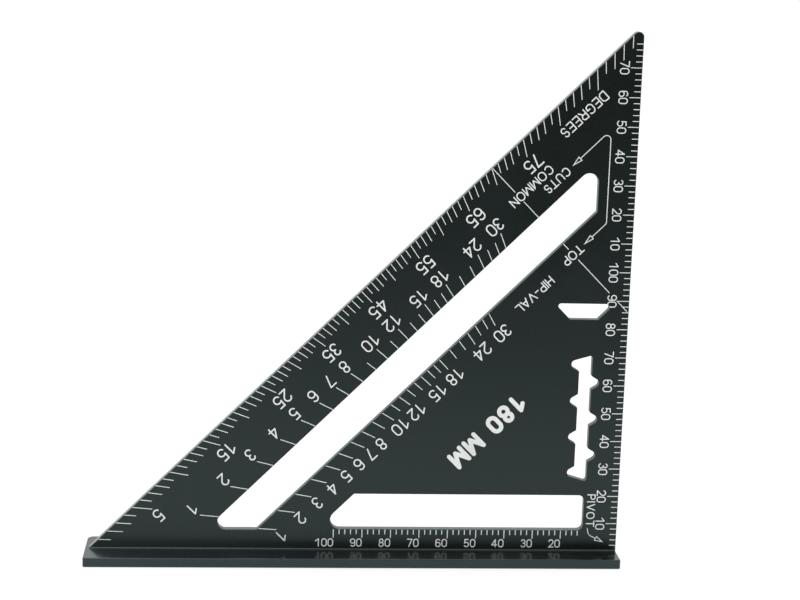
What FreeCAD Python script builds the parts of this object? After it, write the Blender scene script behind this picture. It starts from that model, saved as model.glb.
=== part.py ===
import FreeCAD, Part
import math
import os

# Speed square (rafter square): a triangular blade standing in a flat fence, with its scales
# filled in light paint.
#
# Frame: +X along the fence towards the pivot end, +Y away from the marked front face, +Z up.
# The origin is the centre of the fence's underside.
#
# Places on the blade are given as (u, v): u runs from the upright edge towards the tip and v
# runs up from the fence's top face, so the pivot corner is (0, 0) and the sloping edge is the
# line u + v = LEG. "Band" is the value of u + v, which is constant along the sloping edge.

Vector = FreeCAD.Vector
ROOT2 = math.sqrt(2)

# ---------------------------------------------------------------- driving dimensions (mm)
LEG = 184.6  # both straight edges of the blade, a nominal 180 mm square
BLADE_THICK = 3.0
FENCE_THICK = 3.3
FENCE_WIDTH = 23.2
FENCE_PAST_TIP = 1.2  # the fence runs on past the blade's tip
FENCE_LENGTH = LEG + FENCE_PAST_TIP

APEX_RADIUS = 1.8
EDGE_BREAK = 0.2  # small bevel on the blade's outline and openings
FENCE_FRONT_CORNER = 0.8
FENCE_BACK_CORNER = 2.2
FENCE_EDGE = 0.35  # rounding of the fence's upper edges
FENCE_UNDER_EDGE = 0.2
COVE_RADIUS = 0.6  # hollow fillet of the fence against the blade
COVE_LAND = 0.06
FOOT_DEPTH = 1.5  # the blade's foot sits this deep in the fence's groove

# long sloping slot between the common and the hip scales
SLOT_OUTER_BAND = 151.35
SLOT_INNER_BAND = 133.75
SLOT_BOTTOM = 7.1
SLOT_SIDE = 12.85
SLOT_RADIUS = 2.8
SLOT_HIGH_RADIUS = 3.15

# ruler window above the fence
RULER_BOTTOM = 7.5
RULER_TOP = 20.25
RULER_SIDE = 12.15
RULER_BAND = 113.35
RULER_RADIUS = 2.0
RULER_TIP_RADIUS = 3.3

# small sight window beside the upright edge
SIGHT_BOTTOM = 83.4
SIGHT_TOP = 88.9
SIGHT_RIGHT_BAND = 93.95
SIGHT_LEFT_DIFFERENCE = 63.0  # v - u along its left end
SIGHT_LEFT_RADIUS = 0.95
SIGHT_RIGHT_RADIUS = 1.25

# notched scribing slot
SCRIBE_RIGHT = 11.75
SCRIBE_LEFT = 16.2
SCRIBE_PITCH = 13.0
SCRIBE_FIRST = 28.4  # height of the lowest notch, on the left
SCRIBE_NOTCHES = 4  # on the left; the right has one fewer, half a pitch up
NOTCH_HALF_MOUTH = 2.45
NOTCH_FLANK = 31.0  # degrees off square to the slot
NOTCH_RADIUS = 1.5
SCRIBE_END_TILT = 16.5  # degrees
SCRIBE_TOP = 70.75
SCRIBE_BOTTOM = 25.35
SCRIBE_CORNER = 0.8

SOFT_CORNER = 0.3

# paint
PAINT = 0.1  # height of the paint above the blade
TICK_LINE = 0.25
RULER_TICK_LINE = 0.32
GUIDE_LINE = 0.28

# degree scale, along the sloping edge
SCALE_PIVOT = (0.53, 0.09)  # the rays of every angled scale start here, just inside the corner
DEGREE_LONG = 7.6  # tick depths are differences of band
DEGREE_MIDDLE = 5.7
DEGREE_SHORT = 4.5
DEGREE_TEXT_BAND = 172.55
DEGREE_TEXT = (4.2, 0.5)  # height between stroke centres, stroke width

# common rafter scale, outside the slot, and hip and valley scale, inside it
RAFTER_RUN = 12.0
HIP_RUN = 12.0 * ROOT2
RAFTER_NUMBERS = (1, 2, 3, 4, 5, 6, 7, 8, 10, 12, 15, 18, 24, 30)
RAFTER_TICKS = tuple(range(1, 19)) + tuple(range(20, 31, 2))
COMMON_LONG_BAND = 158.6
COMMON_SHORT_BAND = 157.0
COMMON_TEXT_BAND = 162.95
COMMON_TEXT_LEAN = 0.005  # the row of numerals drifts outwards towards the tip
HIP_LONG_BAND = 127.0
HIP_SHORT_BAND = 128.3
HIP_TEXT_BAND = 122.0
HIP_TEXT_LEAN = 0.012
RAFTER_TEXT = (4.0, 0.47)

# edge scale, up the upright edge
EDGE_STEP = 2
EDGE_LAST = 178
EDGE_SHORT = 2.4
EDGE_LONG = 4.0
EDGE_TEXT_CENTRE = 6.1
EDGE_TEXT = (2.95, 0.35)

# ruler scale, hanging from the ruler window's lower edge
RULER_FIRST = 14
RULER_LAST = 100
RULER_SHORT = 1.9
RULER_LONG = 3.2
RULER_TEXT_CENTRE = 2.55
RULER_TEXT = (2.65, 0.36)

# top cut line: square to the sloping edge, where v - u is constant
TOP_CUT_DIFFERENCE = 85.7

WORD_STROKE = 0.4
ARROW_HALF = 0.95  # half the width of an arrow head

FRONT = -1
BACK = 1

# ---------------------------------------------------------------- stroke lettering
# Each glyph is (width, strokes) for a height of 1 between stroke centres. A stroke is a run of
# points, or an arc (centre x, centre y, radius, start angle, end angle), anticlockwise.


def run(*points):
    return ("run", points)


def arc(x, y, radius, start, end):
    return ("arc", (x, y, radius, start, end))


def oval(width):
    r = width / 2
    return [
        arc(r, 1 - r, r, 0, 180),
        arc(r, r, r, 180, 360),
        run((0, r), (0, 1 - r)),
        run((width, r), (width, 1 - r)),
    ]


def open_oval(width, gap):
    """An oval that is open on its right, as in C and G; gap is the angle of each lip."""
    r = width / 2
    return [arc(r, 1 - r, r, gap, 180), arc(r, r, r, 180, 360 - gap), run((0, r), (0, 1 - r))]


def double_bowl(width, low, high):
    """Two right-hand bowls, as in 3; low and high are the lips' angles."""
    top = 0.235
    bottom = 0.265
    x = width - bottom
    return [arc(x, 1 - top, top, -90, high), arc(x, bottom, bottom, low, 90)]


def two():
    r = 0.29
    reach = math.hypot(r, 1 - r)
    foot = math.atan2(1 - r, r) - math.asin(r / reach)
    side = math.sqrt(reach * reach - r * r)
    tangent = (side * math.cos(foot), side * math.sin(foot))
    return [
        arc(r, 1 - r, r, math.degrees(foot) - 90, 165),
        run(tangent, (0, 0), (2 * r, 0)),
    ]


def six():
    r = 0.29
    hook = 0.28
    return [
        arc(r, r, r, 0, 360),
        run((0, r), (0, 1 - hook)),
        arc(hook, 1 - hook, hook, 35, 180),
    ]


def nine():
    return [turned(stroke, 0.58) for stroke in six()]


def turned(stroke, width):
    """A stroke turned half round about the middle of its cell."""
    kind, data = stroke
    if kind == "run":
        return run(*[(width - x, 1 - y) for x, y in data])
    x, y, radius, start, end = data
    return arc(width - x, 1 - y, radius, start + 180, end + 180)


def ess(width):
    r = 0.26
    x = width / 2
    return [
        arc(x - 0.02, 1 - r, r, 20, 270),
        arc(x + 0.02, r, r, 200, 450),
        run((x - 0.02, 1 - 2 * r), (x + 0.02, 2 * r)),
    ]


GLYPHS = {
    "0": (0.60, oval(0.60)),
    "1": (0.42, [run((0.02, 0.72), (0.40, 1), (0.40, 0))]),
    "2": (0.58, two()),
    "3": (0.56, double_bowl(0.56, -160, 160)),
    "4": (0.66, [run((0.66, 0.27), (0, 0.27), (0.46, 1), (0.46, 0))]),
    "5": (0.58, [run((0.52, 1), (0.08, 1), (0.06, 0.50)), arc(0.28, 0.30, 0.30, -150, 138)]),
    "6": (0.58, six()),
    "7": (0.60, [run((0, 1), (0.60, 1), (0.22, 0))]),
    "8": (0.58, [arc(0.29, 0.76, 0.24, 0, 360), arc(0.29, 0.26, 0.28, 0, 360)]),
    "9": (0.58, nine()),
    "A": (0.80, [run((0, 0), (0.40, 1), (0.80, 0)), run((0.14, 0.32), (0.66, 0.32))]),
    "C": (0.76, open_oval(0.76, 40)),
    "D": (0.70, [run((0.35, 0), (0, 0), (0, 1), (0.35, 1)),
                 arc(0.35, 0.65, 0.35, 0, 90), arc(0.35, 0.35, 0.35, 270, 360),
                 run((0.70, 0.35), (0.70, 0.65))]),
    "E": (0.60, [run((0.60, 0), (0, 0), (0, 1), (0.60, 1)), run((0, 0.52), (0.52, 0.52))]),
    "G": (0.76, open_oval(0.76, 40) + [run((0.44, 0.46), (0.76, 0.46), (0.70, 0.14))]),
    "H": (0.66, [run((0, 0), (0, 1)), run((0.66, 0), (0.66, 1)), run((0, 0.5), (0.66, 0.5))]),
    "I": (0.0, [run((0, 0), (0, 1))]),
    "L": (0.56, [run((0, 1), (0, 0), (0.56, 0))]),
    "M": (0.88, [run((0, 0), (0, 1), (0.44, 0.12), (0.88, 1), (0.88, 0))]),
    "N": (0.72, [run((0, 0), (0, 1), (0.72, 0), (0.72, 1))]),
    "O": (0.82, oval(0.82)),
    "P": (0.62, [run((0, 0), (0, 1), (0.34, 1)), arc(0.34, 0.72, 0.28, -90, 90),
                 run((0, 0.44), (0.34, 0.44))]),
    "R": (0.66, [run((0, 0), (0, 1), (0.36, 1)), arc(0.36, 0.73, 0.27, -90, 90),
                 run((0, 0.46), (0.36, 0.46), (0.66, 0))]),
    "S": (0.62, ess(0.62)),
    "T": (0.74, [run((0, 1), (0.74, 1)), run((0.37, 1), (0.37, 0))]),
    "U": (0.72, [run((0, 1), (0, 0.36)), arc(0.36, 0.36, 0.36, 180, 360),
                 run((0.72, 0.36), (0.72, 1))]),
    "V": (0.78, [run((0, 1), (0.39, 0), (0.78, 1))]),
    "-": (0.40, [run((0, 0.36), (0.40, 0.36))]),
    " ": (0.30, []),
}
CELL = 0.60  # width of a digit's cell
WIDE_AFTER_ONE = CELL - 0.42


def polar(x, y, radius, degrees):
    a = math.radians(degrees)
    return Vector(x + radius * math.cos(a), y + radius * math.sin(a), 0)


def capsule(p, q, width):
    """A straight stroke with round ends, as a flat face."""
    along = (q - p).normalize()
    side = Vector(-along.y, along.x, 0) * (width / 2)
    tip = along * (width / 2)
    edges = [
        Part.makeLine(p + side, q + side),
        Part.Arc(q + side, q + tip, q - side).toShape(),
        Part.makeLine(q - side, p - side),
        Part.Arc(p - side, p - tip, p + side).toShape(),
    ]
    return Part.Face(Part.Wire(edges))


def bow(x, y, radius, start, end, width):
    """A curved stroke with round ends, or a whole ring, as a flat face."""
    outer = radius + width / 2
    inner = radius - width / 2
    centre = Vector(x, y, 0)
    if end - start >= 360:
        rings = [Part.Wire(Part.makeCircle(r, centre)) for r in (outer, inner)]
        return Part.Face(rings[0]).cut(Part.Face(rings[1]))
    middle = (start + end) / 2
    tips = []
    for angle, ahead in ((end, 90), (start, -90)):
        on = polar(x, y, radius, angle)
        tips.append(on + polar(0, 0, width / 2, angle + ahead))
    far = [polar(x, y, outer, angle) for angle in (start, middle, end)]
    near = [polar(x, y, inner, angle) for angle in (end, middle, start)]
    edges = [
        Part.Arc(*far).toShape(),
        Part.Arc(far[-1], tips[0], near[0]).toShape(),
        Part.Arc(*near).toShape(),
        Part.Arc(near[-1], tips[1], far[0]).toShape(),
    ]
    return Part.Face(Part.Wire(edges))


glyph_store = {}


def glyph_solid(letter, height, width):
    """One letter, its left stroke centre at x = 0 and its middle height at y = 0, +Z outwards."""
    key = (letter, height, width)
    if key not in glyph_store:
        pieces = []
        for kind, data in GLYPHS[letter][1]:
            if kind == "run":
                points = [Vector(px * height, (py - 0.5) * height, 0) for px, py in data]
                pieces += [capsule(p, q, width) for p, q in zip(points, points[1:])]
            else:
                x, y, radius, start, end = data
                pieces.append(
                    bow(x * height, (y - 0.5) * height, radius * height, start, end, width)
                )
        strokes = [piece.extrude(Vector(0, 0, PAINT)) for piece in pieces]
        glyph_store[key] = joined(strokes).Solids
    return glyph_store[key]


def text(words, style, u, v, up, side=FRONT, gap=0.225):
    """Solids of a line of lettering centred on (u, v), its tops pointing along up.

    style is (height, stroke), up is a direction (du, dv), and gap is the space between
    neighbouring letters' stroke centres, as a share of the height.
    """
    height, width = style
    spots = []
    x = 0.0
    for place, letter in enumerate(words):
        spots.append(x)
        x += GLYPHS[letter][0] * height
        if letter == "1" and place < len(words) - 1:
            x += WIDE_AFTER_ONE * height
        if place < len(words) - 1:
            x += gap * height
    out = Vector(0, side, 0)
    top = Vector(-up[0], 0, up[1]).normalize()
    along = top.cross(out)
    solids = []
    for letter, start in zip(words, spots):
        origin = blade_point(u, v, side) + along * (start - x / 2)
        frame = FreeCAD.Matrix(
            along.x, top.x, out.x, origin.x,
            along.y, top.y, out.y, origin.y,
            along.z, top.z, out.z, origin.z,
        )
        for solid in glyph_solid(letter, height, width) if GLYPHS[letter][1] else []:
            placed = solid.copy()
            placed.Placement = FreeCAD.Placement(frame)
            solids.append(placed)
    return solids


# ---------------------------------------------------------------- geometry helpers


def joined(pieces):
    if len(pieces) == 1:
        return pieces[0]
    return pieces[0].fuse(pieces[1:]).removeSplitter()


def blade_point(u, v, side):
    """A point on the blade's front or back face."""
    return Vector(FENCE_LENGTH / 2 - u, side * BLADE_THICK / 2, FENCE_THICK + v)


def meeting(p, p_angle, q, q_angle):
    """Where two lines cross, each given by a point (u, v) and an angle from the u axis."""
    a = math.radians(p_angle)
    b = math.radians(q_angle)
    turn = math.sin(b - a)
    reach = ((q[0] - p[0]) * math.sin(b) - (q[1] - p[1]) * math.cos(b)) / turn
    return (p[0] + reach * math.cos(a), p[1] + reach * math.sin(a))


def outline(corners):
    """A closed wire on the blade's mid plane through corners (u, v, radius)."""
    points = [Vector(FENCE_LENGTH / 2 - u, 0, FENCE_THICK + v) for u, v, _ in corners]
    starts = []
    ends = []
    edges = []
    for i, (_, _, radius) in enumerate(corners):
        here = points[i]
        back = (points[i - 1] - here).normalize()
        ahead = (points[(i + 1) % len(points)] - here).normalize()
        half = back.getAngle(ahead) / 2
        reach = radius / math.tan(half)
        starts.append(here + back * reach)
        ends.append(here + ahead * reach)
        if radius:
            bisector = (back + ahead).normalize()
            crown = here + bisector * (radius / math.sin(half) - radius)
            edges.append(Part.Arc(starts[i], crown, ends[i]).toShape())
    for i, end in enumerate(ends):
        edges.append(Part.makeLine(end, starts[(i + 1) % len(starts)]))
    return Part.Wire(Part.__sortEdges__(edges))


def slab(corners, thickness=BLADE_THICK):
    face = Part.Face(outline(corners))
    solid = face.extrude(Vector(0, thickness, 0))
    solid.translate(Vector(0, -thickness / 2, 0))
    return solid


def painted(corners, side):
    """One thin painted polygon on the blade, from its corners (u, v)."""
    points = [blade_point(u, v, side) for u, v in corners]
    face = Part.Face(Part.makePolygon(points + points[:1]))
    return face.extrude(Vector(0, side * PAINT, 0))


def painted_line(p, q, side=FRONT, width=GUIDE_LINE):
    du = q[0] - p[0]
    dv = q[1] - p[1]
    k = width / 2 / math.hypot(du, dv)
    corners = [
        (p[0] - dv * k, p[1] + du * k),
        (q[0] - dv * k, q[1] + du * k),
        (q[0] + dv * k, q[1] - du * k),
        (p[0] + dv * k, p[1] - du * k),
    ]
    return painted(corners, side)


def painted_path(points, radii, side=FRONT, width=GUIDE_LINE):
    """A painted line through points (u, v) with rounded corners, as one solid."""
    offsets = []
    for shift in (width / 2, -width / 2):
        offsets.append(shifted_path(points, radii, shift, side))
    start_cap = Part.makeLine(offsets[0][0], offsets[1][0])
    end_cap = Part.makeLine(offsets[0][-1], offsets[1][-1])
    edges = [start_cap, end_cap]
    for path in offsets:
        for i in range(0, len(path) - 1, 3):
            edges.append(Part.makeLine(path[i], path[i + 1]))
            if i + 3 < len(path):
                edges.append(Part.Arc(path[i + 1], path[i + 2], path[i + 3]).toShape())
    wire = Part.Wire(Part.__sortEdges__(edges))
    return Part.Face(wire).extrude(Vector(0, side * PAINT, 0))


def shifted_path(points, radii, shift, side):
    """Points of one side of a rounded path: line start, line end, arc middle, line start, ..."""
    flat = [Vector(u, v, 0) for u, v in points]
    out = []
    first = (flat[1] - flat[0]).normalize()
    out.append(flat[0] + Vector(-first.y, first.x, 0) * shift)
    for i in range(1, len(flat) - 1):
        back = (flat[i - 1] - flat[i]).normalize()
        ahead = (flat[i + 1] - flat[i]).normalize()
        half = back.getAngle(ahead) / 2
        radius = radii[i - 1]
        centre = flat[i] + (back + ahead).normalize() * (radius / math.sin(half))
        reach = radius / math.tan(half)
        bends_left = (-back).cross(ahead).z > 0
        side_radius = radius - shift if bends_left else radius + shift
        for spot in (flat[i] + back * reach, flat[i], flat[i] + ahead * reach):
            out.append(centre + (spot - centre).normalize() * side_radius)
    last = (flat[-1] - flat[-2]).normalize()
    out.append(flat[-1] + Vector(-last.y, last.x, 0) * shift)
    return [blade_point(p.x, p.y, side) for p in out]


def arrow_head(tip, tail, half_width, side=FRONT, width=GUIDE_LINE):
    """An open triangular arrow head: a painted triangle with a triangular hole."""
    axis = Vector(tip[0] - tail[0], tip[1] - tail[1], 0)
    across = Vector(-axis.y, axis.x, 0).normalize() * half_width
    middle = Vector(*tail, 0)
    corners = [Vector(*tip, 0), middle + across, middle - across]
    whole = painted([(c.x, c.y) for c in corners], side)
    sides = [(corners[i] - corners[i - 1]).Length for i in range(3)]
    inside = half_width * axis.Length / sum(sides) * 2  # radius of the inscribed circle
    weighted = corners[0] * sides[2] + corners[1] * sides[0] + corners[2] * sides[1]
    centre = weighted * (1 / sum(sides))
    shrink = 1 - width / inside
    holes = [centre + (c - centre) * shrink for c in corners]
    return whole.cut(painted([(c.x, c.y) for c in holes], side))


def ray_tick(slope, from_band, to_band, side=FRONT, width=TICK_LINE):
    """A tick on a ray from the pivot with slope v / u, between two lines of equal u + v."""
    along = Vector(1, slope, 0).normalize()
    u0, v0 = SCALE_PIVOT
    corners = []
    for band, shift in ((from_band, 1), (to_band, 1), (to_band, -1), (from_band, -1)):
        off = shift * width / 2
        reach = (band - u0 - v0 - off * (along.x - along.y)) / (along.x + along.y)
        u = u0 + reach * along.x - off * along.y
        v = v0 + reach * along.y + off * along.x
        corners.append((u, v))
    return painted(corners, side)


def ray_at_band(slope, band):
    """The point of a pivot ray where u + v equals band."""
    u0, v0 = SCALE_PIVOT
    u = u0 + (band - u0 - v0) / (1 + slope)
    return (u, band - u)


def on_band(slope, tick_band, text_band):
    """Beside a tick's end, straight across to the band that holds the lettering."""
    u, v = ray_at_band(slope, tick_band)
    shift = (text_band - tick_band) / 2
    return (u + shift, v + shift)


TOWARDS_PIVOT = (-1, -1)
TOWARDS_EDGE = (-1, 0)
UPRIGHT = (0, 1)


# ---------------------------------------------------------------- blade and fence


def scribing_corners():
    """Corners of the notched scribing slot, up its right side and down its left."""
    depth = NOTCH_HALF_MOUTH / math.tan(math.radians(NOTCH_FLANK))
    corners = [(SCRIBE_RIGHT, SCRIBE_BOTTOM, SCRIBE_CORNER)]
    for i in range(SCRIBE_NOTCHES - 1):
        v = SCRIBE_FIRST + (i + 0.5) * SCRIBE_PITCH
        corners.append((SCRIBE_RIGHT, v - NOTCH_HALF_MOUTH, SOFT_CORNER))
        corners.append((SCRIBE_RIGHT - depth, v, NOTCH_RADIUS))
        corners.append((SCRIBE_RIGHT, v + NOTCH_HALF_MOUTH, SOFT_CORNER))
    corners.append((SCRIBE_RIGHT, SCRIBE_TOP, SCRIBE_CORNER))
    for i in reversed(range(SCRIBE_NOTCHES)):
        v = SCRIBE_FIRST + i * SCRIBE_PITCH
        upper = (SCRIBE_LEFT, v + NOTCH_HALF_MOUTH)
        lower = (SCRIBE_LEFT, v - NOTCH_HALF_MOUTH)
        if i == SCRIBE_NOTCHES - 1:
            tip = meeting((SCRIBE_RIGHT, SCRIBE_TOP), -SCRIBE_END_TILT, lower, NOTCH_FLANK)
            corners.append((*tip, NOTCH_RADIUS))
            corners.append((*lower, SOFT_CORNER))
        elif i == 0:
            tip = meeting((SCRIBE_RIGHT, SCRIBE_BOTTOM), SCRIBE_END_TILT, upper, -NOTCH_FLANK)
            corners.append((*upper, SOFT_CORNER))
            corners.append((*tip, NOTCH_RADIUS))
        else:
            corners.append((*upper, SOFT_CORNER))
            corners.append((SCRIBE_LEFT + depth, v, NOTCH_RADIUS))
            corners.append((*lower, SOFT_CORNER))
    return corners


OPENINGS = {
    "long_slot": [
        (SLOT_OUTER_BAND - SLOT_BOTTOM, SLOT_BOTTOM, SLOT_RADIUS),
        (SLOT_INNER_BAND - SLOT_BOTTOM, SLOT_BOTTOM, SOFT_CORNER),
        (SLOT_SIDE, SLOT_INNER_BAND - SLOT_SIDE, SOFT_CORNER),
        (SLOT_SIDE, SLOT_OUTER_BAND - SLOT_SIDE, SLOT_HIGH_RADIUS),
    ],
    "ruler_window": [
        (RULER_SIDE, RULER_BOTTOM, RULER_RADIUS),
        (RULER_SIDE, RULER_TOP, RULER_RADIUS),
        (RULER_BAND - RULER_TOP, RULER_TOP, SOFT_CORNER),
        (RULER_BAND - RULER_BOTTOM, RULER_BOTTOM, RULER_TIP_RADIUS),
    ],
    "sight_window": [
        (SIGHT_TOP - SIGHT_LEFT_DIFFERENCE, SIGHT_TOP, SIGHT_LEFT_RADIUS),
        (SIGHT_RIGHT_BAND - SIGHT_TOP, SIGHT_TOP, SIGHT_RIGHT_RADIUS),
        (SIGHT_RIGHT_BAND - SIGHT_BOTTOM, SIGHT_BOTTOM, SOFT_CORNER),
        (SIGHT_BOTTOM - SIGHT_LEFT_DIFFERENCE, SIGHT_BOTTOM, SOFT_CORNER),
    ],
    "scribing_slot": scribing_corners(),
}


def blade():
    """The triangular plate, with its four openings and the foot that enters the fence."""
    plate = slab([
        (0, -FOOT_DEPTH, 0),
        (0, LEG, APEX_RADIUS),
        (LEG, 0, 0),
        (LEG, -FOOT_DEPTH, 0),
    ])
    for corners in OPENINGS.values():
        plate = plate.cut(slab(corners, BLADE_THICK * 2))
    rims = []
    for edge in plate.Edges:
        box = edge.BoundBox
        on_face = box.YLength < 1e-6 and abs(abs(box.YMin) - BLADE_THICK / 2) < 1e-6
        if on_face and box.ZMax > FENCE_THICK + 1e-3:
            rims.append(edge)
    return plate.makeChamfer(EDGE_BREAK, rims)


def cove(side):
    """Hollow fillet between the fence's top and one face of the blade."""
    y = BLADE_THICK / 2
    low = FENCE_THICK - COVE_LAND
    high = FENCE_THICK + COVE_RADIUS
    bend = COVE_RADIUS * (1 - math.sqrt(0.5))
    shore = y + COVE_LAND
    spots = [(y, low), (y, high), (shore, high), (shore + COVE_RADIUS, FENCE_THICK)]
    spots.append((shore + COVE_RADIUS, low))
    length = LEG - COVE_RADIUS - FENCE_EDGE
    ends = [Vector(FENCE_LENGTH / 2 - FENCE_EDGE - length, side * a, b) for a, b in spots]
    crown = Vector(ends[0].x, side * (shore + bend), FENCE_THICK + bend)
    edges = [
        Part.makeLine(ends[0], ends[1]),
        Part.makeLine(ends[1], ends[2]),
        Part.Arc(ends[2], crown, ends[3]).toShape(),
        Part.makeLine(ends[3], ends[4]),
        Part.makeLine(ends[4], ends[0]),
    ]
    return Part.Face(Part.Wire(edges)).extrude(Vector(length, 0, 0))


def fence():
    """The flat bar that hooks over a board's edge, grooved for the blade's foot."""
    bar = Part.makeBox(
        FENCE_LENGTH, FENCE_WIDTH, FENCE_THICK, Vector(-FENCE_LENGTH / 2, -FENCE_WIDTH / 2, 0)
    )
    for side, radius in ((FRONT, FENCE_FRONT_CORNER), (BACK, FENCE_BACK_CORNER)):
        uprights = [
            e
            for e in bar.Edges
            if e.BoundBox.ZLength > FENCE_THICK / 2 and e.BoundBox.Center.y * side > 0
        ]
        bar = bar.makeFillet(radius, uprights)
    for height, radius in ((FENCE_THICK, FENCE_EDGE), (0, FENCE_UNDER_EDGE)):
        rim = [e for e in bar.Edges if max(abs(e.BoundBox.ZMin - height), e.BoundBox.ZLength) < 1e-6]
        bar = bar.makeFillet(radius, rim)
    bar = bar.fuse([cove(FRONT), cove(BACK)]).removeSplitter()
    groove = slab([
        (-FENCE_EDGE, FENCE_THICK, 0),
        (-FENCE_EDGE, -FOOT_DEPTH, 0),
        (LEG, -FOOT_DEPTH, 0),
        (LEG, FENCE_THICK, 0),
    ])
    return bar.cut(groove)


# ---------------------------------------------------------------- scales


def edge_ticks(side=FRONT):
    ticks = []
    for v in range(EDGE_STEP, EDGE_LAST + 1, EDGE_STEP):
        depth = EDGE_LONG if v % 10 == 0 else EDGE_SHORT
        ticks.append(painted_line((EDGE_BREAK, v), (depth, v), side, TICK_LINE))
    return ticks


def edge_numerals(side=FRONT):
    """Every 10 mm; past 100 the hundreds digit is dropped, as there is no room for it."""
    solids = []
    for v in range(10, EDGE_LAST + 1, 10):
        number = str(v if v <= 100 else v - 100)
        solids += text(number, EDGE_TEXT, EDGE_TEXT_CENTRE, v, TOWARDS_EDGE, side, 0.21)
    sight = slab(OPENINGS["sight_window"], BLADE_THICK * 2)
    return trimmed(solids, [sight] + degree_ticks(side))


def trimmed(solids, cutters):
    """Paint that stops at the rim of an opening, or at other paint."""
    kept = []
    for solid in solids:
        near = [cutter for cutter in cutters if solid.BoundBox.intersect(cutter.BoundBox)]
        kept += solid.cut(near).Solids if near else [solid]
    return kept


def degree_ticks(side=FRONT):
    ticks = []
    start = LEG - EDGE_BREAK * ROOT2
    for degree in range(1, 90):
        if degree % 5 == 0:
            depth = DEGREE_LONG
        elif degree % 5 in (2, 3):
            depth = DEGREE_MIDDLE
        else:
            depth = DEGREE_SHORT
        ticks.append(ray_tick(math.tan(math.radians(degree)), start, LEG - depth, side))
    return ticks


def degree_numerals(side=FRONT):
    solids = []
    for degree in range(5, 80, 10):
        slope = math.tan(math.radians(degree))
        spot = on_band(slope, LEG - DEGREE_LONG, DEGREE_TEXT_BAND)
        solids += text(str(degree), DEGREE_TEXT, *spot, TOWARDS_PIVOT, side)
    return solids


def common_ticks():
    ticks = []
    start = SLOT_OUTER_BAND + EDGE_BREAK * ROOT2
    for rise in RAFTER_TICKS:
        end = COMMON_LONG_BAND if rise in RAFTER_NUMBERS else COMMON_SHORT_BAND
        ticks.append(ray_tick(rise / RAFTER_RUN, start, end))
    return ticks


def hip_valley_ticks():
    ticks = []
    start = SLOT_INNER_BAND - EDGE_BREAK * ROOT2
    for rise in RAFTER_TICKS:
        end = HIP_LONG_BAND if rise in RAFTER_NUMBERS + (9,) else HIP_SHORT_BAND
        ticks.append(ray_tick(rise / HIP_RUN, start, end))
    return ticks


def rafter_numerals(run_length, tick_band, text_band, lean):
    solids = []
    for rise in RAFTER_NUMBERS:
        u, v = ray_at_band(rise / run_length, tick_band)
        along = (u - v) / ROOT2
        spot = on_band(rise / run_length, tick_band, text_band + lean * along)
        solids += text(str(rise), RAFTER_TEXT, *spot, TOWARDS_PIVOT)
    return solids


def ruler_ticks():
    ticks = []
    for u in range(RULER_FIRST, RULER_LAST + 1, EDGE_STEP):
        depth = RULER_LONG if u % 10 == 0 else RULER_SHORT
        top = RULER_BOTTOM - EDGE_BREAK
        ticks.append(painted_line((u, top), (u, RULER_BOTTOM - depth), FRONT, RULER_TICK_LINE))
    return ticks


def ruler_numerals():
    """The right end of each number stands at its tick."""
    solids = []
    for u in range(20, RULER_LAST + 1, 10):
        number = text(str(u), RULER_TEXT, u, RULER_TEXT_CENTRE, UPRIGHT, FRONT, 0.24)
        reach = Part.makeCompound(number).BoundBox.XLength / 2
        for solid in number:
            solid.translate(Vector(-reach, 0, 0))
        solids += number
    return solids


# ---------------------------------------------------------------- words, guide lines, arrows


def word(letters, height, along, band):
    """A word beside the sloping edge; along is (u - v) / root 2 at its middle."""
    u = (band + along * ROOT2) / 2
    return text(letters, (height, WORD_STROKE), u, band - u, TOWARDS_PIVOT, FRONT, 0.27)


def top_cut_line():
    """The index line for top cuts, broken where the words stand on it."""
    pieces = []
    stretches = (
        (LEG - EDGE_BREAK * ROOT2, 168.4),
        (162.1, SLOT_OUTER_BAND + EDGE_BREAK * ROOT2),
        (SLOT_INNER_BAND - EDGE_BREAK * ROOT2, 129.9),
        (122.9, 100.0),
        (94.6, TOP_CUT_DIFFERENCE + 1.5),
    )
    for start, end in stretches:
        spots = []
        for band in (start, end):
            spots.append(((band - TOP_CUT_DIFFERENCE) / 2, (band + TOP_CUT_DIFFERENCE) / 2))
        pieces.append(painted_line(*spots))
    return trimmed(pieces, degree_ticks() + edge_ticks())


def top_cut_arrows():
    """The bracket that points from the upright edge to both words."""
    side_u = 9.5
    cuts_band = 158.6
    top_band = 126.5
    cuts_tail = (19.5, cuts_band - 19.5)
    cuts_tip = (22.2, cuts_band - 22.2)
    top_tail = (14.2, top_band - 14.2)
    top_tip = (16.95, top_band - 16.95)
    bracket = painted_path(
        [cuts_tail, (side_u, cuts_band - side_u), (side_u, top_band - side_u), top_tail],
        [1.45, 1.5],
    )
    heads = [arrow_head(cuts_tip, cuts_tail, ARROW_HALF), arrow_head(top_tip, top_tail, ARROW_HALF)]
    return [joined([bracket] + heads)]


def pivot_arrow():
    """A short curved arrow to the pivot corner."""
    tail = (7.5, 4.6)
    curve = painted_path([(10.5, 8.3), (10.15, 5.9), tail], [2.2])
    return [joined([curve, arrow_head((4.6, 3.15), tail, ARROW_HALF)])]


# ---------------------------------------------------------------- nodes

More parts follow.
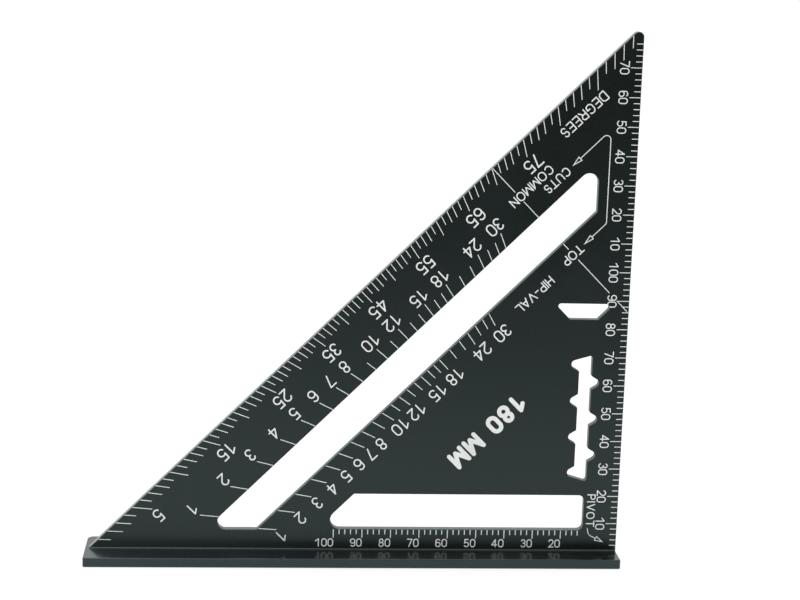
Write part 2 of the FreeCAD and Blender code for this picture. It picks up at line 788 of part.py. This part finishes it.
NODES = {
    "blade": lambda: [blade()],
    "fence": lambda: [fence()],
    "edge_scale_ticks": edge_ticks,
    "edge_scale_numerals": edge_numerals,
    "degree_scale_ticks": degree_ticks,
    "degree_scale_numerals": degree_numerals,
    "degree_scale_name": lambda: word("DEGREES", 3.2, -95.45, 172.9),
    "common_rafter_ticks": common_ticks,
    "common_rafter_numerals": lambda: rafter_numerals(
        RAFTER_RUN, COMMON_LONG_BAND, COMMON_TEXT_BAND, COMMON_TEXT_LEAN
    ),
    "common_rafter_name": lambda: word("COMMON", 2.9, -66.05, 165.0),
    "hip_valley_ticks": hip_valley_ticks,
    "hip_valley_numerals": lambda: rafter_numerals(
        HIP_RUN, HIP_LONG_BAND, HIP_TEXT_BAND, HIP_TEXT_LEAN
    ),
    "hip_valley_name": lambda: word("HIP-VAL", 2.9, -41.6, 124.8),
    "ruler_scale_ticks": ruler_ticks,
    "ruler_scale_numerals": ruler_numerals,
    "top_cut_line": top_cut_line,
    "top_cut_arrows": top_cut_arrows,
    "top_cut_words": lambda: word("TOP", 2.9, -60.35, 126.35) + word("CUTS", 2.8, -73.75, 158.55),
    "pivot_name": lambda: text("PIVOT", (2.65, 0.36), 9.6, 14.75, TOWARDS_EDGE, FRONT, 0.35),
    "pivot_arrow": pivot_arrow,
    "nominal_size_mark": lambda: text("180 MM", (5.3, 1.5), 47.4, 43.2, TOWARDS_PIVOT, FRONT, 0.42),
    "back_edge_scale_ticks": lambda: edge_ticks(BACK),
    "back_edge_scale_numerals": lambda: edge_numerals(BACK),
    "back_degree_scale_ticks": lambda: degree_ticks(BACK),
    "back_degree_scale_numerals": lambda: degree_numerals(BACK),
}


def main():
    os.makedirs("parts", exist_ok=True)
    for name, make in NODES.items():
        solids = make()
        shape = solids[0] if len(solids) == 1 else Part.makeCompound(solids)
        box = shape.BoundBox
        shape.exportStep(f"parts/{name}.step")
        print(
            f"{name:28s} solids {len(shape.Solids):3d}  volume {shape.Volume:10.2f} mm3  "
            f"x {box.XMin:.2f}..{box.XMax:.2f}  y {box.YMin:.2f}..{box.YMax:.2f}  "
            f"z {box.ZMin:.2f}..{box.ZMax:.2f}  valid {shape.isValid()}"
        )


main()
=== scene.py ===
import bmesh
import bpy
from mathutils import Matrix, Vector

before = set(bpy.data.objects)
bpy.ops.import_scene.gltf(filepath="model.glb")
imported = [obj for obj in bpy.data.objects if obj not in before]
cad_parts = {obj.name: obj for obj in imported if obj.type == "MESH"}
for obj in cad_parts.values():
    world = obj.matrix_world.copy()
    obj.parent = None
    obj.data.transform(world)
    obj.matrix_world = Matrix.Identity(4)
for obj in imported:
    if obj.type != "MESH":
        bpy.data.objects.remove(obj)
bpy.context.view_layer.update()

MM = 0.001

# sockets of the Mix node when it mixes colours
MIX_COLOUR_A = 6
MIX_COLOUR_B = 7
MIX_COLOUR_RESULT = 2

# ------------------------------------------------------------------ finishes

# tones are linear colours; a pair is the darker and the lighter end of a slow variation
BLADE_TONES = ((0.0052, 0.0070, 0.0054), (0.0072, 0.0094, 0.0074))
BLADE_ROUGHNESS = (0.24, 0.32)
BLADE_IOR = 1.46
BLADE_GRAIN = 0.22
FENCE_TONES = ((0.0090, 0.0115, 0.0100), (0.0120, 0.0150, 0.0130))
FENCE_ROUGHNESS = (0.16, 0.24)
FENCE_IOR = 1.52
FENCE_GRAIN = 0.12
GLOSS_TINT = (0.72, 0.97, 1.0)

# cut edges and bevels of the blade: in the openings, and along the sloping edge, where the
# lighter tones are a painted highlight
RIM_TONES = ((0.042, 0.049, 0.048), (0.072, 0.080, 0.080))
SLOPE_HIGHLIGHT_TONES = ((0.165, 0.176, 0.174), (0.225, 0.236, 0.234))
RIM_ROUGHNESS = 0.42
RIM_IOR = 1.5
# share of a normal along Y below which it is all rim, and above which it is all face
RIM_FULL = 0.55
RIM_NONE = 0.9
# the painted highlight on the sloping edge begins at this height above, plus distance left of,
# the frame's origin
SLOPE_HIGHLIGHT_START = 90.5 * MM
SLOPE_HIGHLIGHT_FULL = 92.5 * MM

# noise scales, in features per metre
CLOUD_SCALE = 28.0
PEEL_SCALE = 520.0
GRAIN_SCALE = 1900.0
SCUFF_SCALE = 420.0
PATCH_SCALE = 160.0
SPECK_SCALE = 3200.0
# heights of the surface's relief
PEEL_HEIGHT = 0.03 * MM
GRAIN_HEIGHT = 0.012 * MM
SPECK_HEIGHT = 0.01 * MM

PAINT_COLOUR = (0.78, 0.80, 0.79)
PAINT_SHADE = 0.90  # the darker patches, as a share of the colour
PAINT_ROUGHNESS = (0.5, 0.7)
PAINT_IOR = 1.45
PAINT_GRAIN = 0.35

# ------------------------------------------------------------------ surroundings

WHITE = (1.0, 1.0, 1.0, 1.0)

FLOOR_HALF_SIZE = 14.0
FLOOR_HEIGHT = -0.05 * MM
FLOOR_COLOUR = (0.22, 0.22, 0.22, 1.0)
FLOOR_ROUGHNESS = 0.9
FLOOR_OWN_GLOW = 0.77
FLOOR_GLOW = 1.15  # all the light the open floor gives off, its own and reflected

SHADE_HEIGHT = 0.1 * MM
SHADE_NEAR = -0.05
SHADE_FAR = -8.0
SHADE_HALF_WIDTH = 8.0
# (distance in front of the object in metres, share of the floor's brightness)
SHADE_LEVELS = ((0.10, 0.98), (0.2, 0.86), (0.4, 0.46), (0.8, 0.12), (1.6, 0.04), (3.2, 0.03))

RING_RADIUS = 4.0
RING_HEIGHT = 6.0
RING_SEGMENTS = 96
RING_GLOW = 1.05

WORLD_BACK = 1.05
WORLD_FRONT = 0.03
WORLD_ZENITH = 1.6  # added overhead
# Y of the view direction where the dome turns from its front to its back brightness
WORLD_TURN = (-0.6, 0.5)
# Z of the view direction where the light overhead begins and is full
WORLD_RISE = (0.25, 1.0)

FILL_SPOT = (-0.25, -0.75, 0.35)
FILL_TARGET = (0.0, 0.0, 0.05)
FILL_SIZE = 0.5
FILL_WATTS = 1.8

CAMERA_SPOT = (-38.274 * MM, -621.987 * MM, 218.060 * MM)
CAMERA_RIGHT = (0.99654, -0.07702, 0.03138)
CAMERA_UP = (-0.01544, 0.19946, 0.97978)
CAMERA_BACK = (-0.08173, -0.97687, 0.19758)
CAMERA_SENSOR = 36.0
CAMERA_LENS = 83.85
CAMERA_CLIP = (0.01, 100.0)


# ------------------------------------------------------------------ node helpers


def new_material(name):
    material = bpy.data.materials.new(name)
    material.use_nodes = True
    tree = material.node_tree
    tree.nodes.clear()
    return material, tree


def link(tree, source, output, target, socket):
    tree.links.new(source.outputs[output], target.inputs[socket])


def place(tree):
    """Coordinates on the object itself, in metres, so that a pattern stays put in every view."""
    return tree.nodes.new("ShaderNodeTexCoord")


def split_axes(tree, source, output):
    made = tree.nodes.new("ShaderNodeSeparateXYZ")
    link(tree, source, output, made, "Vector")
    return made


def arithmetic(tree, operation, source, output):
    """A Math node with its first input linked."""
    made = tree.nodes.new("ShaderNodeMath")
    made.operation = operation
    link(tree, source, output, made, 0)
    return made


def noise(tree, where, scale, detail=2.0, roughness=0.5):
    made = tree.nodes.new("ShaderNodeTexNoise")
    made.inputs["Scale"].default_value = scale
    made.inputs["Detail"].default_value = detail
    made.inputs["Roughness"].default_value = roughness
    link(tree, where, "Object", made, "Vector")
    return made


def ramp(tree, source, start, end, tones):
    """Colour that goes from the first tone to the second as a noise goes from start to end."""
    made = tree.nodes.new("ShaderNodeValToRGB")
    for element, at, tone in zip(made.color_ramp.elements, (start, end), tones):
        element.position = at
        element.color = (*tone, 1.0)
    link(tree, source, "Fac", made, "Fac")
    return made


def spread(tree, source, output, low, high, start=0.3, end=0.7):
    """Maps a value from the range start..end to the range low..high."""
    made = tree.nodes.new("ShaderNodeMapRange")
    made.inputs["From Min"].default_value = start
    made.inputs["From Max"].default_value = end
    made.inputs["To Min"].default_value = low
    made.inputs["To Max"].default_value = high
    link(tree, source, output, made, "Value")
    return made


def bump(tree, source, distance, strength, under=None):
    made = tree.nodes.new("ShaderNodeBump")
    made.inputs["Distance"].default_value = distance
    made.inputs["Strength"].default_value = strength
    link(tree, source, "Fac", made, "Height")
    if under:
        link(tree, under, "Normal", made, "Normal")
    return made


def mixed(tree, mask, plain, rim):
    """A number that is plain on the faces and rim on the cut edges; plain may be a node."""
    made = tree.nodes.new("ShaderNodeMix")
    made.data_type = "FLOAT"
    link(tree, mask, "Result", made, "Factor")
    if isinstance(plain, float):
        made.inputs["A"].default_value = plain
    else:
        link(tree, plain, "Result", made, "A")
    made.inputs["B"].default_value = rim
    return made


def mixed_colour(tree, mask, plain, rim):
    """Colour output that is plain where the mask is 0 and rim where it is 1."""
    made = tree.nodes.new("ShaderNodeMix")
    made.data_type = "RGBA"
    link(tree, mask, "Result", made, "Factor")
    tree.links.new(plain, made.inputs[MIX_COLOUR_A])
    tree.links.new(rim, made.inputs[MIX_COLOUR_B])
    return made.outputs[MIX_COLOUR_RESULT]


def surface(tree, shader, output):
    out = tree.nodes.new("ShaderNodeOutputMaterial")
    link(tree, shader, output, out, "Surface")


# ------------------------------------------------------------------ materials


def rim_mask(tree, where):
    """1 on the cut edges and bevels, whose normals turn away from the Y axis, 0 on the faces."""
    normal = split_axes(tree, where, "Normal")
    facing = arithmetic(tree, "ABSOLUTE", normal, "Y")
    return spread(tree, facing, "Value", 1.0, 0.0, RIM_FULL, RIM_NONE)


def sloping_highlight_mask(tree, where):
    """Where the painted highlight goes: 1 along the sloping edge and over the apex, 0 at the
    openings and the upright edge.
    """
    position = split_axes(tree, where, "Object")
    rise = arithmetic(tree, "SUBTRACT", position, "Z")
    link(tree, position, "X", rise, 1)
    return spread(tree, rise, "Value", 0.0, 1.0, SLOPE_HIGHLIGHT_START, SLOPE_HIGHLIGHT_FULL)


def coat(name, tones, rough, ior, grain, rims):
    """Thin dark green-grey coating over aluminium, satin, with a fine grain.

    Where rims is true, the cut edges have a rougher finish of their own, and a little aluminium
    shows through; along the sloping edge and over the apex their colour is lighter still, a
    painted highlight.
    """
    material, tree = new_material(name)
    where = place(tree)
    cloud = noise(tree, where, CLOUD_SCALE, 3.0, 0.55)
    fine_grain = noise(tree, where, GRAIN_SCALE, 2.0, 0.6)
    orange_peel = noise(tree, where, PEEL_SCALE)
    colour = ramp(tree, cloud, 0.30, 0.72, tones)
    shader = tree.nodes.new("ShaderNodeBsdfPrincipled")
    shader.inputs["Specular Tint"].default_value = (*GLOSS_TINT, 1.0)
    roughness = spread(tree, cloud, "Fac", *rough)
    if rims:
        mask = rim_mask(tree, where)
        scuff = noise(tree, where, SCUFF_SCALE, 3.0, 0.6)
        sheltered = ramp(tree, scuff, 0.35, 0.75, RIM_TONES)
        # painted highlight: lighter rim colour along the sloping edge, where the light falls on
        # it
        sloping_highlight = ramp(tree, scuff, 0.35, 0.75, SLOPE_HIGHLIGHT_TONES)
        outer = sloping_highlight_mask(tree, where)
        rim = mixed_colour(tree, outer, sheltered.outputs["Color"], sloping_highlight.outputs["Color"])
        coloured = mixed_colour(tree, mask, colour.outputs["Color"], rim)
        tree.links.new(coloured, shader.inputs["Base Color"])
        link(tree, mixed(tree, mask, roughness, RIM_ROUGHNESS), "Result", shader, "Roughness")
        link(tree, mixed(tree, mask, ior, RIM_IOR), "Result", shader, "IOR")
    else:
        shader.inputs["IOR"].default_value = ior
        link(tree, colour, "Color", shader, "Base Color")
        link(tree, roughness, "Result", shader, "Roughness")
    soft = bump(tree, orange_peel, PEEL_HEIGHT, grain)
    fine = bump(tree, fine_grain, GRAIN_HEIGHT, grain, soft)
    link(tree, fine, "Normal", shader, "Normal")
    surface(tree, shader, "BSDF")
    return material


def paint(name, colour):
    """Light matte paint wiped into the scales: a little uneven in tone and surface."""
    material, tree = new_material(name)
    where = place(tree)
    patch = noise(tree, where, PATCH_SCALE, 3.0, 0.6)
    speck = noise(tree, where, SPECK_SCALE, 2.0, 0.6)
    dark = tuple(c * PAINT_SHADE for c in colour)
    tone = ramp(tree, patch, 0.32, 0.62, (dark, colour))
    shader = tree.nodes.new("ShaderNodeBsdfPrincipled")
    shader.inputs["IOR"].default_value = PAINT_IOR
    link(tree, tone, "Color", shader, "Base Color")
    link(tree, spread(tree, patch, "Fac", *PAINT_ROUGHNESS), "Result", shader, "Roughness")
    link(tree, bump(tree, speck, SPECK_HEIGHT, PAINT_GRAIN), "Normal", shader, "Normal")
    surface(tree, shader, "BSDF")
    return material


blade_coat = coat("blade_coat", BLADE_TONES, BLADE_ROUGHNESS, BLADE_IOR, BLADE_GRAIN, True)
fence_coat = coat("fence_coat", FENCE_TONES, FENCE_ROUGHNESS, FENCE_IOR, FENCE_GRAIN, False)
mark_paint = paint("mark_paint", PAINT_COLOUR)

MATERIALS = {"blade": blade_coat, "fence": fence_coat}
for name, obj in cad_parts.items():
    for material_slot in obj.material_slots:
        material_slot.material = MATERIALS.get(name, mark_paint)


# ------------------------------------------------------------------ floor, light, camera


def mesh_object(name, bm, material):
    mesh = bpy.data.meshes.new(name)
    bm.to_mesh(mesh)
    bm.free()
    mesh.materials.append(material)
    made = bpy.data.objects.new(name, mesh)
    bpy.context.scene.collection.objects.link(made)
    return made


def rectangle(x, near, far, height):
    """A flat face from -x to x, and from near to far along Y."""
    bm = bmesh.new()
    corners = ((-x, near), (x, near), (x, far), (-x, far))
    bm.faces.new([bm.verts.new((*corner, height)) for corner in corners])
    return bm


def make_floor():
    material, tree = new_material("floor_white")
    shader = tree.nodes.new("ShaderNodeBsdfPrincipled")
    shader.inputs["Base Color"].default_value = FLOOR_COLOUR
    shader.inputs["Roughness"].default_value = FLOOR_ROUGHNESS
    shader.inputs["Specular IOR Level"].default_value = 0.0
    shader.inputs["Emission Color"].default_value = WHITE
    shader.inputs["Emission Strength"].default_value = FLOOR_OWN_GLOW
    surface(tree, shader, "BSDF")
    sheet = rectangle(FLOOR_HALF_SIZE, -FLOOR_HALF_SIZE, FLOOR_HALF_SIZE, FLOOR_HEIGHT)
    floor = mesh_object("floor", sheet, material)


def make_front_shade():
    """A dark studio in front of the object, seen only in its reflections.

    It lies on the floor and is as bright as the floor near the object.
    """
    material, tree = new_material("front_shade")
    position = split_axes(tree, place(tree), "Object")
    distance = spread(tree, position, "Y", 0.0, 1.0, 0.0, SHADE_FAR)
    root = arithmetic(tree, "SQRT", distance, "Result")
    curve = tree.nodes.new("ShaderNodeFloatCurve")
    link(tree, root, "Value", curve, "Value")
    points = curve.mapping.curves[0].points
    points[0].location = (0.0, 1.0)
    points[1].location = (1.0, SHADE_LEVELS[-1][1])
    for away, level in SHADE_LEVELS:
        points.new((away / -SHADE_FAR) ** 0.5, level)
    curve.mapping.update()
    strength = arithmetic(tree, "MULTIPLY", curve, "Value")
    strength.inputs[1].default_value = FLOOR_GLOW
    glow = tree.nodes.new("ShaderNodeEmission")
    link(tree, strength, "Value", glow, "Strength")
    surface(tree, glow, "Emission")
    sheet = rectangle(SHADE_HALF_WIDTH, SHADE_NEAR, SHADE_FAR, SHADE_HEIGHT)
    shade = mesh_object("front_shade", sheet, material)
    shade.visible_camera = False
    shade.visible_diffuse = False
    shade.visible_shadow = False
    shade.visible_transmission = False


def make_backdrop():
    """A white ring wall far round everything, seen by the camera only."""
    material, tree = new_material("backdrop_white")
    glow = tree.nodes.new("ShaderNodeEmission")
    glow.inputs["Strength"].default_value = RING_GLOW
    surface(tree, glow, "Emission")
    bm = bmesh.new()
    bmesh.ops.create_cone(
        bm,
        segments=RING_SEGMENTS,
        radius1=RING_RADIUS,
        radius2=RING_RADIUS,
        depth=RING_HEIGHT,
    )
    ring = mesh_object("backdrop", bm, material)
    ring.visible_diffuse = False
    ring.visible_glossy = False
    ring.visible_shadow = False
    ring.visible_transmission = False


def make_world():
    """A soft white dome: brighter overhead, white behind the object and dimmer in front of it."""
    world = bpy.data.worlds.new("studio")
    bpy.context.scene.world = world
    world.use_nodes = True
    tree = world.node_tree
    tree.nodes.clear()
    direction = split_axes(tree, place(tree), "Generated")
    around = spread(tree, direction, "Y", WORLD_FRONT, WORLD_BACK, *WORLD_TURN)
    around.interpolation_type = "SMOOTHSTEP"
    above = spread(tree, direction, "Z", 0.0, WORLD_ZENITH, *WORLD_RISE)
    above.interpolation_type = "SMOOTHSTEP"
    total = arithmetic(tree, "ADD", around, "Result")
    link(tree, above, "Result", total, 1)
    background = tree.nodes.new("ShaderNodeBackground")
    background.inputs["Color"].default_value = WHITE
    link(tree, total, "Value", background, "Strength")
    out = tree.nodes.new("ShaderNodeOutputWorld")
    link(tree, background, "Background", out, "Surface")


def make_fill_light():
    data = bpy.data.lights.new("front_fill", "AREA")
    data.shape = "SQUARE"
    data.size = FILL_SIZE
    data.energy = FILL_WATTS
    light = bpy.data.objects.new("front_fill", data)
    bpy.context.scene.collection.objects.link(light)
    light.location = FILL_SPOT
    direction = Vector(FILL_TARGET) - Vector(FILL_SPOT)
    light.rotation_euler = direction.to_track_quat("-Z", "Y").to_euler()


def make_camera():
    data = bpy.data.cameras.new("camera")
    data.sensor_width = CAMERA_SENSOR
    data.lens = CAMERA_LENS
    data.clip_start, data.clip_end = CAMERA_CLIP
    camera = bpy.data.objects.new("camera", data)
    bpy.context.scene.collection.objects.link(camera)
    turn = Matrix((CAMERA_RIGHT, CAMERA_UP, CAMERA_BACK)).transposed().to_4x4()
    camera.matrix_world = Matrix.Translation(CAMERA_SPOT) @ turn
    bpy.context.scene.camera = camera


make_floor()
make_front_shade()
make_backdrop()
make_world()
make_fill_light()
make_camera()
bpy.context.scene.view_settings.view_transform = "Standard"
